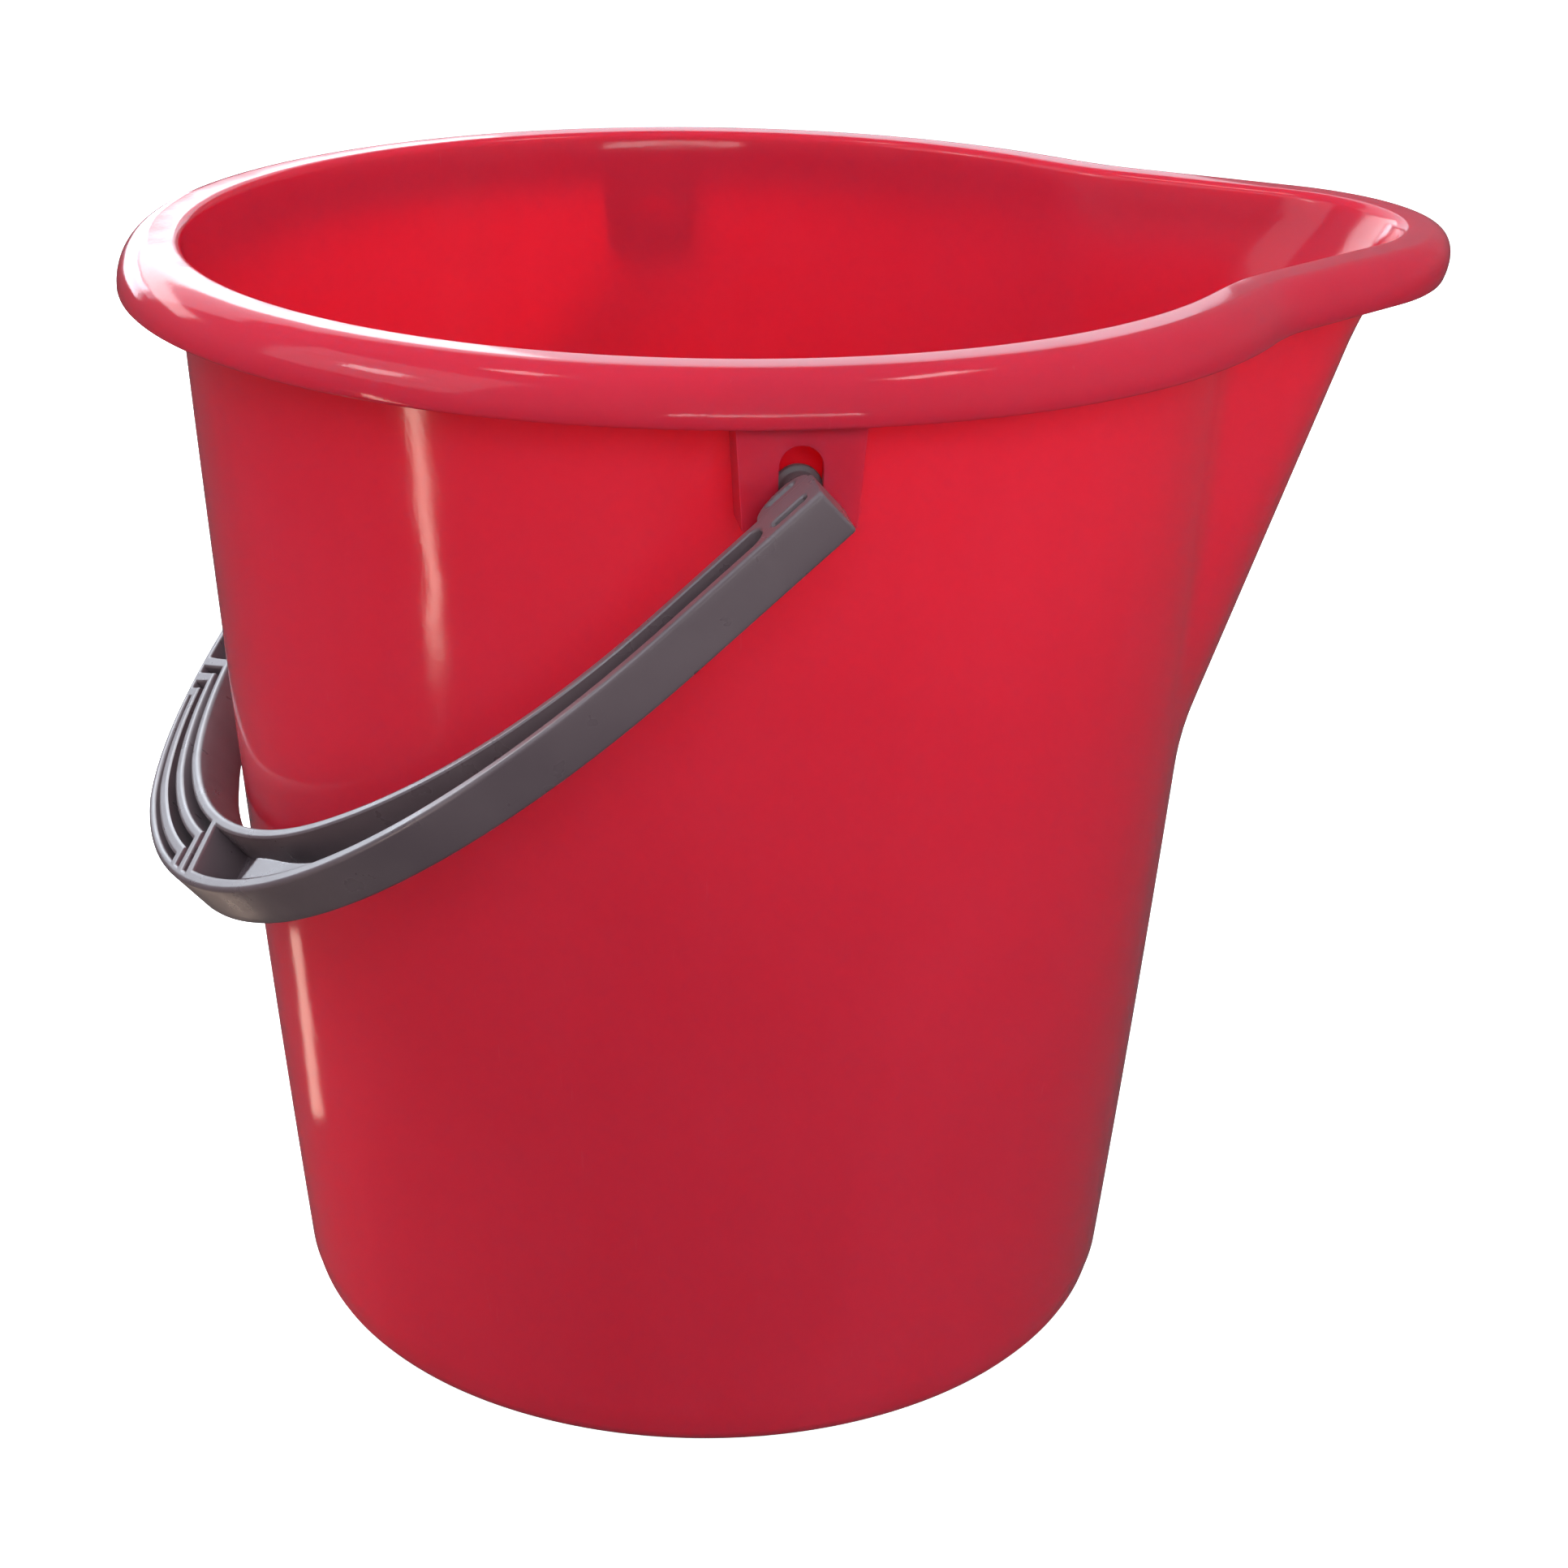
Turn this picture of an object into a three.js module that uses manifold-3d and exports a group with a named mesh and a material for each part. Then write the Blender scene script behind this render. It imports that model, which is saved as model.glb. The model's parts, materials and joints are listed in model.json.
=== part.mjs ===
// Wash bucket: a moulded 12-litre bucket with a pouring spout, and the swinging bail
// handle whose two studs clip into lugs moulded under the rim.
//
// Millimetres, +Z up. The origin is on the bucket's axis, in the plane it stands on.
// +X points out along the spout, and the bail turns about an axis parallel to Y.

import * as THREE from 'three';
import { mergeVertices } from 'three/addons/utils/BufferGeometryUtils.js';
import Module from 'manifold-3d';

const wasm = await Module();
wasm.setup();

const DEGREES = Math.PI / 180;

// ---------------------------------------------------------------- driving dimensions

const shell = {
  height: 285.7, // crest of the rim
  baseRadius: 111, // outside of the wall, carried down to the ground
  topRadius: 131.2, // outside of the wall, level with the rim's lower edge
  swell: 1.4, // how far the wall bulges outside a straight cone, halfway up
  wall: 2,
  floor: 2.6,
  baseRound: 6, // outer edge of the underside
  foot: 40, // above this height the wall is drawn in long steps
  segments: 96,
};

const rim = {
  edgeRound: 2.4, // rounding where the inside wall turns over onto the crest
  crestWidth: 7.5, // from the inside of the wall to where the crest starts to fall
  fallWidth: 8.2, // from there out to the lower edge
  drop: 11.6, // from the crest down to the lower edge
  thickness: 1.9,
  rootHeight: 270, // where the wall's long steps end, under the rim
  rootCorner: 1.2,
};

const spout = {
  halfAngle: 35.9 * DEGREES, // its side walls, seen from above
  reach: 175.1, // axis to the outside of the nose, level with the crest, before the flare
  reachPerHeight: 0.389, // how fast the keel runs back towards the wall going down
  noseRadius: 42.9, // outside of the nose, level with the crest
  noseGrowth: 0.422, // how fast the nose gets blunter going down
  flare: 3, // how far the nose's lip curls out over the top of the wall
  flareHeight: 28, // how far down that curl reaches
  sector: 60 * DEGREES, // the bucket is plain and round outside this angle
  creaseInWall: 2.2, // softness of the hollow crease beside the spout
  creaseInRim: 5,
};

const lug = {
  topWidth: 27.6,
  bottomWidth: 24.3,
  bottom: 251.8, // height of its lower edge
  face: 141, // bucket axis to its outer face
  plate: 2.2, // thickness of the slotted outer plate
  cheek: 2, // thickness of the two side walls
  depth: 15, // from the outer face back to a plane just inside the bucket
  slotRadius: 4.7,
  slotRise: 5.7, // between the centres of the slot's two round ends
};

// Where the studs turn: a little behind the bucket's axis, like the lugs and their slots.
const pivot = { x: -1.4, z: 259.4 };

const bail = {
  restAngle: 47.8 * DEGREES, // from hanging straight down, back against the wall
  crownRadius: 182.5,
  crownCentre: 7.5, // below the pivot
  crownSpread: 32 * DEGREES, // half the arc of the crown
  shoulderRadius: 148.5,
  endBeyondPivot: 4.7,
  thickness: 18.6, // across the strap, in the plane of the bail
  endThickness: 13.4,
  gripWidth: 15, // across the strap, square to the plane of the bail
  armWidth: 11.2,
  endWidth: 9.6,
  offset: 0.9, // mid-plane of the strap above the pivot axis
  outerRail: 3.7, // edges left standing beside the channel along each arm
  innerRail: 3.2,
  floor: 2.2, // skin left behind the channels, on the side away from them
  taperStart: 45 * DEGREES, // the strap thins between these two turns
  taperEnd: 88 * DEGREES,
  narrowStart: 93 * DEGREES, // from here to its end it narrows as well
  widthPower: 2.7, // how quickly the grip's width falls off towards the arms
  slotStart: 2.3, // short slot beside the stud, measured from the strap's end
  slotEnd: 11.3,
  channelEnd: 14,
  stations: 72,
};

// The grip in the middle of the crown has four rails. Its ribs run outwards at a slant, each
// turning out of one rail's end to meet the outer rail, one nested inside the next.
const grip = {
  rails: [2.6, 3.4, 3.15, 3.25], // widths from the outer rail to the inner one
  channels: [1.2, 2.4, 2.6],
  ribWidth: 4.6, // along the strap's inner edge, like the step
  ribStart: 17.4 * DEGREES, // where the last rib leaves the inner edge
  slant: 1, // how far a rib runs along the strap for each step across it
  ribStep: 7, // from one rib to the next
};

const stud = {
  radius: 4.1,
  headRadius: 5.4,
  headLength: 2,
  gapBehindPlate: 0.8,
  bossRadius: 6.8, // round pad on the strap at the root of the stud
  bossCentre: 2.2,
  bossReach: 5.6, // how far the pad stands in from the strap
  sides: 32,
};

// ---------------------------------------------------------------- solids and meshes

function closedTriangles(geometry) {
  const bare = geometry.clone();
  bare.deleteAttribute('normal');
  bare.deleteAttribute('uv');
  const merged = mergeVertices(bare, 1e-4);
  const index = Array.from(merged.index.array);
  const kept = [];
  for (let i = 0; i < index.length; i += 3) {
    const [a, b, c] = index.slice(i, i + 3);
    if (a !== b && b !== c && c !== a) kept.push(a, b, c);
  }
  return { vertices: merged.attributes.position.array, triangles: kept };
}

function signedVolume({ vertices, triangles }) {
  const a = new THREE.Vector3();
  const b = new THREE.Vector3();
  const c = new THREE.Vector3();
  let sum = 0;
  for (let i = 0; i < triangles.length; i += 3) {
    a.fromArray(vertices, 3 * triangles[i]);
    b.fromArray(vertices, 3 * triangles[i + 1]);
    c.fromArray(vertices, 3 * triangles[i + 2]);
    sum += a.dot(b.cross(c)) / 6;
  }
  return sum;
}

function solidFrom(geometry) {
  const mesh = closedTriangles(geometry);
  if (signedVolume(mesh) < 0) mesh.triangles.reverse();
  return new wasm.Manifold(new wasm.Mesh({
    numProp: 3,
    vertProperties: Float32Array.from(mesh.vertices),
    triVerts: Uint32Array.from(mesh.triangles),
  }));
}

function geometryFrom(solid) {
  const mesh = solid.getMesh();
  const geometry = new THREE.BufferGeometry();
  geometry.setAttribute('position', new THREE.BufferAttribute(mesh.vertProperties, 3));
  geometry.setIndex(new THREE.BufferAttribute(mesh.triVerts, 1));
  geometry.computeVertexNormals();
  return geometry;
}

function moveVertices(geometry, place) {
  const position = geometry.attributes.position;
  for (let i = 0; i < position.count; i += 1) {
    const moved = place(position.getX(i), position.getY(i), position.getZ(i));
    position.setXYZ(i, ...moved);
  }
  return geometry;
}

// ---------------------------------------------------------------- bucket wall and spout

const lipHeight = shell.height - rim.drop;

function wallRadius(height) {
  const t = height / lipHeight;
  const cone = shell.baseRadius + (shell.topRadius - shell.baseRadius) * t;
  return cone + shell.swell * 4 * t * (1 - t);
}

function softMax(a, b, softness) {
  const overlap = Math.max(softness - Math.abs(a - b), 0) / softness;
  return Math.max(a, b) + overlap * overlap * softness / 4;
}

// Distance from the axis to the spout's surface: a round nose between two straight sides.
function spoutRadius(angle, height, offset) {
  const below = shell.height - height;
  const nose = spout.noseRadius + spout.noseGrowth * below;
  const curl = spout.flare * THREE.MathUtils.smoothstep(-below, -spout.flareHeight, 0);
  const centre = spout.reach - spout.reachPerHeight * below - nose + curl;
  const round = nose + offset;
  const away = Math.abs(angle);
  const { halfAngle } = spout;
  const tangent = Math.atan2(round * Math.cos(halfAngle), centre + round * Math.sin(halfAngle));
  if (away < tangent) {
    return centre * Math.cos(away) + Math.sqrt(round ** 2 - (centre * Math.sin(away)) ** 2);
  }
  const apex = centre + round / Math.sin(halfAngle);
  return apex * Math.sin(halfAngle) / Math.sin(halfAngle + away);
}

// Pushes a point of the round bucket out to the spout, keeping its distance from the wall.
function pullSpout(x, y, z) {
  const radius = Math.hypot(x, y);
  const angle = Math.atan2(y, x);
  if (radius < shell.baseRadius / 2 || Math.abs(angle) > spout.sector) return [x, y, z];
  const offset = radius - wallRadius(z);
  const towardsRim = THREE.MathUtils.smoothstep(z, lipHeight - 8, shell.height);
  const softness = THREE.MathUtils.lerp(spout.creaseInWall, spout.creaseInRim, towardsRim);
  const pulled = softMax(radius, spoutRadius(angle, z, offset), softness);
  return [pulled * Math.cos(angle), pulled * Math.sin(angle), z];
}

function arcPoints(centre, radii, from, to, steps) {
  const points = [];
  for (let i = 0; i <= steps; i += 1) {
    const angle = THREE.MathUtils.lerp(from, to, i / steps);
    const across = centre[0] + radii[0] * Math.cos(angle);
    points.push(new THREE.Vector2(across, centre[1] + radii[1] * Math.sin(angle)));
  }
  return points;
}

function wallPoints(from, to, offset, steps) {
  const points = [];
  for (let i = 0; i <= steps; i += 1) {
    const height = THREE.MathUtils.lerp(from, to, i / steps);
    points.push(new THREE.Vector2(wallRadius(height) + offset, height));
  }
  return points;
}

// The bucket's section, from the middle of the underside out, up, over the rim and back down.
function bucketProfile() {
  const { height, wall, floor, baseRound, foot } = shell;
  const inside = wallRadius(height) - wall;
  const fallStart = inside + rim.crestWidth;
  const quarter = Math.PI / 2;
  const underRim = height - rim.thickness;
  return [
    new THREE.Vector2(0, 0),
    ...arcPoints([wallRadius(0) - baseRound, baseRound], [baseRound, baseRound], -quarter, 0, 3),
    ...wallPoints(foot, rim.rootHeight, 0, 7),
    new THREE.Vector2(wallRadius(underRim - rim.rootCorner), underRim - rim.rootCorner),
    new THREE.Vector2(wallRadius(height) + rim.rootCorner, underRim),
    ...arcPoints(
      [fallStart, lipHeight],
      [rim.fallWidth - rim.thickness, rim.drop - rim.thickness], quarter, 0, 3,
    ),
    ...arcPoints([fallStart, lipHeight], [rim.fallWidth, rim.drop], 0, quarter, 6),
    ...arcPoints(
      [inside + rim.edgeRound, height - rim.edgeRound],
      [rim.edgeRound, rim.edgeRound], quarter, 2 * quarter, 3,
    ),
    ...wallPoints(rim.rootHeight, foot, -wall, 7),
    ...arcPoints(
      [wallRadius(floor) - wall - baseRound, floor + baseRound],
      [baseRound, baseRound], 0, -quarter, 3,
    ),
    new THREE.Vector2(0, floor),
  ];
}

function bucketShell() {
  const lathe = new THREE.LatheGeometry(bucketProfile(), shell.segments);
  lathe.rotateX(90 * DEGREES);
  return solidFrom(moveVertices(lathe, pullSpout));
}

// ---------------------------------------------------------------- lugs under the rim

// A tapered outline seen from outside, x across and y up, set in by a margin all round.
function lugOutline(margin, bottom) {
  const top = shell.height;
  const widthAt = (height) => {
    const t = (height - lug.bottom) / (lipHeight - lug.bottom);
    return THREE.MathUtils.lerp(lug.bottomWidth, lug.topWidth, t) / 2 - margin;
  };
  const outline = new THREE.Shape();
  outline.moveTo(pivot.x - widthAt(bottom), bottom);
  outline.lineTo(pivot.x + widthAt(bottom), bottom);
  outline.lineTo(pivot.x + widthAt(top), top);
  outline.lineTo(pivot.x - widthAt(top), top);
  outline.closePath();
  return outline;
}

function slotOutline() {
  const slot = new THREE.Shape();
  const { slotRadius, slotRise } = lug;
  slot.absarc(pivot.x, pivot.z + slotRise, slotRadius, 0, 180 * DEGREES);
  slot.absarc(pivot.x, pivot.z, slotRadius, 180 * DEGREES, 360 * DEGREES);
  slot.closePath();
  return slot;
}

// Extrudes an outline drawn in the XZ plane between two distances along +Y or -Y.
function extrudeAlongY(outline, side, near, far) {
  const options = { depth: far - near, bevelEnabled: false, curveSegments: 16 };
  const geometry = new THREE.ExtrudeGeometry(outline, options);
  return solidFrom(moveVertices(geometry, (x, y, z) => [x, side * (near + z), y]));
}

// Everything inside the rim's outer skin, so that a lug stops halfway through its thickness.
function rimEnvelope() {
  const skin = rim.thickness / 2;
  const fallStart = wallRadius(shell.height) - shell.wall + rim.crestWidth;
  const radii = [rim.fallWidth - skin, rim.drop - skin];
  const lathe = new THREE.LatheGeometry([
    new THREE.Vector2(0, 0),
    new THREE.Vector2(fallStart + radii[0], 0),
    ...arcPoints([fallStart, lipHeight], radii, 0, 90 * DEGREES, 6),
    new THREE.Vector2(0, shell.height - skin),
  ], shell.segments);
  lathe.rotateX(90 * DEGREES);
  return solidFrom(lathe);
}

// Everything inside the middle of the wall's thickness, so that a lug's root stops there.
function wallCore() {
  const lathe = new THREE.LatheGeometry([
    new THREE.Vector2(0, rim.rootHeight / 2),
    ...wallPoints(rim.rootHeight / 2, shell.height + 1, -shell.wall / 2, 6),
    new THREE.Vector2(0, shell.height + 1),
  ], shell.segments);
  lathe.rotateX(90 * DEGREES);
  return solidFrom(lathe);
}

function lugSolid(side) {
  const root = lug.face - lug.depth;
  const inner = lug.face - lug.plate;
  return extrudeAlongY(lugOutline(0, lug.bottom), side, root, lug.face)
    .intersect(rimEnvelope())
    .subtract(wallCore())
    .subtract(extrudeAlongY(lugOutline(lug.cheek, lug.bottom - 10), side, root - 1, inner))
    .subtract(extrudeAlongY(slotOutline(), side, inner - 2, lug.face + 2));
}

function makeBucket() {
  return bucketShell().add(lugSolid(-1)).add(lugSolid(1));
}

// ---------------------------------------------------------------- bail handle

// The strap's outer edge in the plane of the bail: u is sideways from the middle, v is down
// from the pivot, and the normal points out of the hoop.
function outerEdge(angle) {
  const side = Math.sign(angle);
  const turn = Math.abs(angle);
  const quarter = 90 * DEGREES;
  const { crownRadius, crownSpread, shoulderRadius, crownCentre } = bail;
  const centre = (crownRadius - shoulderRadius) * Math.sin(crownSpread);
  const centreDown = crownCentre + (crownRadius - shoulderRadius) * Math.cos(crownSpread);
  if (turn > quarter) {
    const down = centreDown - (turn - quarter) * shoulderRadius;
    return { u: side * (centre + shoulderRadius), v: down, nu: side, nv: 0 };
  }
  const nu = Math.sin(turn);
  const nv = Math.cos(turn);
  if (turn > crownSpread) {
    const u = centre + shoulderRadius * nu;
    return { u: side * u, v: centreDown + shoulderRadius * nv, nu: side * nu, nv };
  }
  return { u: side * crownRadius * nu, v: crownCentre + crownRadius * nv, nu: side * nu, nv };
}

// The turn at which the strap's square end is reached, past the quarter circle.
function endTurn() {
  const level = outerEdge(90 * DEGREES).v;
  return 90 * DEGREES + (level + bail.endBeyondPivot) / bail.shoulderRadius;
}

const strapEnd = endTurn();

function thicknessAt(turn) {
  const tapered = THREE.MathUtils.smoothstep(Math.abs(turn), bail.taperStart, bail.taperEnd);
  return THREE.MathUtils.lerp(bail.thickness, bail.endThickness, tapered);
}

function edgePoint(turn, inset) {
  const edge = outerEdge(turn);
  return new THREE.Vector2(edge.u - inset * edge.nu, edge.v - inset * edge.nv);
}

// Width of the strap square to the bail's plane, from the place's direction in that plane.
function widthAt(u, v) {
  const turn = Math.atan2(Math.abs(u), v - bail.crownCentre);
  const left = Math.max(1 - turn / strapEnd, 0);
  const towardsEnd = THREE.MathUtils.smoothstep(turn, bail.narrowStart, strapEnd);
  const arm = THREE.MathUtils.lerp(bail.armWidth, bail.endWidth, towardsEnd);
  return arm + (bail.gripWidth - bail.armWidth) * left ** bail.widthPower;
}

// A band of the strap between two edges. Each edge runs from one turn to another, at its own
// distance in from the strap's outer edge.
function bandOutline(outer, inner, steps) {
  const points = [];
  for (let i = 0; i <= steps; i += 1) {
    const turn = THREE.MathUtils.lerp(outer.from, outer.to, i / steps);
    points.push(edgePoint(turn, outer.inset(turn)));
  }
  for (let i = steps; i >= 0; i -= 1) {
    const turn = THREE.MathUtils.lerp(inner.from, inner.to, i / steps);
    points.push(edgePoint(turn, inner.inset(turn)));
  }
  return new THREE.Shape(points);
}

// Raises an outline in the bail's plane to a solid. The two faces' heights come from the
// local width. In the bail's own frame it hangs straight down, with its channels facing -X.
function raise(outline, lowFace, highFace) {
  const options = { depth: 1, bevelEnabled: false, curveSegments: 12 };
  const geometry = new THREE.ExtrudeGeometry(outline, options);
  return solidFrom(moveVertices(geometry, (u, v, level) => {
    const half = widthAt(u, v) / 2;
    const w = bail.offset + (level > 0.5 ? highFace(half) : lowFace(half));
    return [-w, u, -v];
  }));
}

function strapSolid() {
  const ends = { from: -strapEnd, to: strapEnd };
  const outline = bandOutline(
    { ...ends, inset: () => 0 }, { ...ends, inset: thicknessAt }, bail.stations,
  );
  return raise(outline, (half) => -half, (half) => half);
}

function pocket(outline) {
  return raise(outline, (half) => bail.floor - half, (half) => half + 2);
}

// The turn at which a slanted rib stands, at one distance in from the outer edge. Ribs are
// counted from the last one, and back is a further distance towards the middle of the grip.
function ribTurn(rib, inset, back) {
  const slanted = (bail.thickness - inset) * grip.slant / (bail.crownRadius - inset);
  const stepped = (rib * grip.ribStep + back) / (bail.crownRadius - bail.thickness);
  return grip.ribStart + slanted - stepped;
}

// A channel of the grip between two insets. At both ends it turns out beside its rib, in a
// leg that stops at the outer rail. The outermost channel has no leg.
function gripChannel(outer, inner, rib) {
  const leg = rib < grip.channels.length - 1 ? grip.ribStep - grip.ribWidth : 0;
  const corner = (inset, back) => edgePoint(ribTurn(rib, inset, back), inset);
  const half = [corner(grip.rails[0], 0)];
  if (leg > 0) half.push(corner(grip.rails[0], leg));
  const points = [];
  const steps = 24;
  for (let i = 0; i <= steps; i += 1) {
    const turn = (1 - 2 * i / steps) * ribTurn(rib, outer, leg);
    if (leg > 0 || (i > 0 && i < steps)) points.push(edgePoint(turn, outer));
  }
  const mirrored = half.map((point) => new THREE.Vector2(-point.x, point.y)).reverse();
  const back = [];
  for (let i = 0; i <= steps; i += 1) {
    const turn = (2 * i / steps - 1) * ribTurn(rib, inner, 0);
    back.push(edgePoint(turn, inner));
  }
  return pocket(new THREE.Shape([...half, ...points, ...mirrored, ...back]));
}

function gripPockets() {
  let inset = 0;
  return grip.channels.map((channel, i) => {
    const outer = inset + grip.rails[i];
    inset = outer + channel;
    return gripChannel(outer, inset, grip.channels.length - 1 - i);
  });
}

function armPockets(side) {
  const outer = () => bail.outerRail;
  const inner = (turn) => thicknessAt(turn) - bail.innerRail;
  const along = (distance) => side * (strapEnd - distance / bail.shoulderRadius);
  const start = (inset) => side * ribTurn(0, inset, -grip.ribWidth);
  const channel = bandOutline(
    { from: start(bail.outerRail), to: along(bail.channelEnd), inset: outer },
    { from: start(bail.thickness - bail.innerRail), to: along(bail.channelEnd), inset: inner }, 30,
  );
  const slotSpan = { from: along(bail.slotEnd), to: along(bail.slotStart) };
  const slot = bandOutline(
    { ...slotSpan, inset: () => bail.outerRail + 1.2 },
    { ...slotSpan, inset: (turn) => inner(turn) - 2.6 }, 2,
  );
  return [pocket(channel), pocket(slot)];
}

function roundBar(radius, from, to, side) {
  const bar = new THREE.CylinderGeometry(radius, radius, to - from, stud.sides);
  bar.translate(0, side * (from + to) / 2, 0);
  return solidFrom(bar);
}

// A pad on the strap's inner face with a rounded front, seen in the plane of the bail.
function bossOutline(side, strapInside) {
  const boss = new THREE.Shape();
  const flank = side * (strapInside + 1);
  const steps = 12;
  boss.moveTo(flank, stud.bossCentre - stud.bossRadius);
  for (let i = 0; i <= steps; i += 1) {
    const angle = THREE.MathUtils.lerp(-90, 90, i / steps) * DEGREES;
    const reach = stud.bossReach * Math.cos(angle);
    boss.lineTo(side * (strapInside - reach), stud.bossCentre + stud.bossRadius * Math.sin(angle));
  }
  boss.lineTo(flank, stud.bossCentre + stud.bossRadius);
  boss.closePath();
  return boss;
}

// The stud reaches in from the strap, through the lug's slot, to a head behind its plate.
function studSolid(side) {
  const strapInside = Math.abs(edgePoint(strapEnd, bail.endThickness).x);
  const headFront = lug.face - lug.plate - stud.gapBehindPlate;
  const root = strapInside + 1;
  return raise(bossOutline(side, strapInside), (half) => -half, (half) => half)
    .add(roundBar(stud.radius, headFront - 0.5, root, side))
    .add(roundBar(stud.headRadius, headFront - stud.headLength, headFront, side));
}

function makeBail() {
  let solid = strapSolid();
  for (const channel of [...gripPockets(), ...armPockets(-1), ...armPockets(1)]) {
    solid = solid.subtract(channel);
  }
  return solid.add(studSolid(-1)).add(studSolid(1));
}

// ---------------------------------------------------------------- the object

const redPlastic = new THREE.MeshStandardMaterial({ color: 0xcf2a40, roughness: 0.22, metalness: 0 });
const greyPlastic = new THREE.MeshStandardMaterial({ color: 0x6a646c, roughness: 0.45, metalness: 0 });

const bucketBody = new THREE.Mesh(geometryFrom(makeBucket()), redPlastic);
bucketBody.name = 'bucket_body';

const bailHandle = new THREE.Mesh(geometryFrom(makeBail()), greyPlastic);
bailHandle.name = 'bail_handle';

const bailPivot = new THREE.Group();
bailPivot.position.set(pivot.x, 0, pivot.z);
bailPivot.rotation.y = bail.restAngle;
bailPivot.add(bailHandle);

const washBucket = new THREE.Group();
washBucket.name = 'wash_bucket';
washBucket.add(bucketBody, bailPivot);

export default washBucket;
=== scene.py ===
import json
import math

import bmesh
import bpy
import numpy as np
from mathutils import Matrix, Vector


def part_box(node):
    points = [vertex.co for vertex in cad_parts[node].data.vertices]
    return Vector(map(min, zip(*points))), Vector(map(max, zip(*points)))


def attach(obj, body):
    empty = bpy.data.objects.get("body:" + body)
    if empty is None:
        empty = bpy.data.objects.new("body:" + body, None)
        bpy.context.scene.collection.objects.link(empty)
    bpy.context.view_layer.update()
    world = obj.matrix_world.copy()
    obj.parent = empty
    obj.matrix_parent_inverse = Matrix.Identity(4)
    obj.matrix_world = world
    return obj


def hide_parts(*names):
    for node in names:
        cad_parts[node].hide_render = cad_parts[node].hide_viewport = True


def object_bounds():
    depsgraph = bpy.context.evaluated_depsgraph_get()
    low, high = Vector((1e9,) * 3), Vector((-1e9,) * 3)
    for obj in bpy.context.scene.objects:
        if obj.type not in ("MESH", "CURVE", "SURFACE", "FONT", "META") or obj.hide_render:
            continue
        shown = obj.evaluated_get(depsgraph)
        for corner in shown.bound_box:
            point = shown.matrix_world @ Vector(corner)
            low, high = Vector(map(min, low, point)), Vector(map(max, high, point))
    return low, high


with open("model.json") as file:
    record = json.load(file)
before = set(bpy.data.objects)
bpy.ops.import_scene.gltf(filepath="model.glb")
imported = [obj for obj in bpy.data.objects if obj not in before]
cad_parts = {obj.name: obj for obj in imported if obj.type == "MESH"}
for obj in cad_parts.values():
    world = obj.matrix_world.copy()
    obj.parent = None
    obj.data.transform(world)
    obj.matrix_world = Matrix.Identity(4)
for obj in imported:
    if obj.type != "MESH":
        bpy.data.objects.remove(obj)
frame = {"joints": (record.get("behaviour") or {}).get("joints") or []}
cad_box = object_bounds()

# Lengths are in millimetres until a mesh is made; Blender objects are in metres. The axes are
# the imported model's: the origin in the middle of the underside, +Z up, +X out along the spout.
MM = 0.001
DEG = math.pi / 180

# ---------------------------------------------------------------- sizes

bucket_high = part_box("bucket_body")[1]
HEIGHT = bucket_high.z / MM
FLANGE_RADIUS = bucket_high.y / MM
PIVOT_X = frame["joints"][0]["pos_m"][0] / MM
PIVOT = frame["joints"][0]["pos_m"][2] / MM

# Wall and floor. The wall's outside swells a little from a straight cone.
WALL = 2.0
FLOOR = 2.6
BASE_RADIUS = 111.0
BASE_ROUND = 6.0
SWELL = 1.4

# Rim: a round inner edge, a flat crest, then a fall to the flange's lower lip.
CREST_WIDTH = 7.5
FALL_WIDTH = 8.2
DROP = 11.6
RIM_SKIN = 1.9
EDGE_ROUND = 2.4
LIP_HEIGHT = HEIGHT - DROP
EDGE_TO_WALL = 1.4
TOP_RADIUS = FLANGE_RADIUS - CREST_WIDTH - FALL_WIDTH + EDGE_TO_WALL

# Spout: a round nose between two straight sides, drawn out of the wall and the rim.
HALF_ANGLE = 35.9 * DEG
REACH = 175.1
REACH_PER_HEIGHT = 0.389
NOSE_RADIUS = 42.9
NOSE_GROWTH = 0.422
FLARE = 3.0
FLARE_HEIGHT = 28.0
CREASE_IN_WALL = 2.2
CREASE_IN_RIM = 5.0
RIM_BLEND = 8.0
SPOUT_SECTOR = 60

# Lugs under the rim, one on each side, with an upright slot for the handle's stud.
LUG_TOP_WIDTH = 27.6
LUG_BOTTOM_WIDTH = 24.3
LUG_BOTTOM = 251.8
LUG_FACE = 141.0
LUG_PLATE = 2.2
LUG_CHEEK = 2.0
LUG_BELOW_CREST = 1.2
LUG_ROUND = 0.55
SLOT_RADIUS = 4.7
SLOT_RISE = 5.7

# Bail handle, drawn hanging straight down: u sideways, v down from the pivot, w across.
REST_ANGLE = 47.8 * DEG
CROWN_RADIUS = 182.5
CROWN_CENTRE = 7.5
CROWN_SPREAD = 32 * DEG
SHOULDER_RADIUS = 148.5
END_BEYOND_PIVOT = 4.7
THICKNESS = 18.6
END_THICKNESS = 13.4
TAPER_START = 45 * DEG
TAPER_END = 88 * DEG
GRIP_WIDTH = 15.0
ARM_WIDTH = 11.2
END_WIDTH = 9.6
NARROW_START = 93 * DEG
WIDTH_POWER = 2.7
STRAP_OFFSET = 0.9
STRAP_FLOOR = 2.2
OUTER_RAIL = 3.7
INNER_RAIL = 3.2
CHANNEL_END = 14.0
STRAP_CORNER = 1.1
END_ROUND = 0.7

# A narrow slot cut in the strap beside its outer rail, at each end.
SLOT_START = 2.3
SLOT_END = 11.3
SLOT_HALF_WIDTH = 1.1
SLOT_FROM_RAIL = 1.0
SLOT_CAP = 1.2

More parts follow.
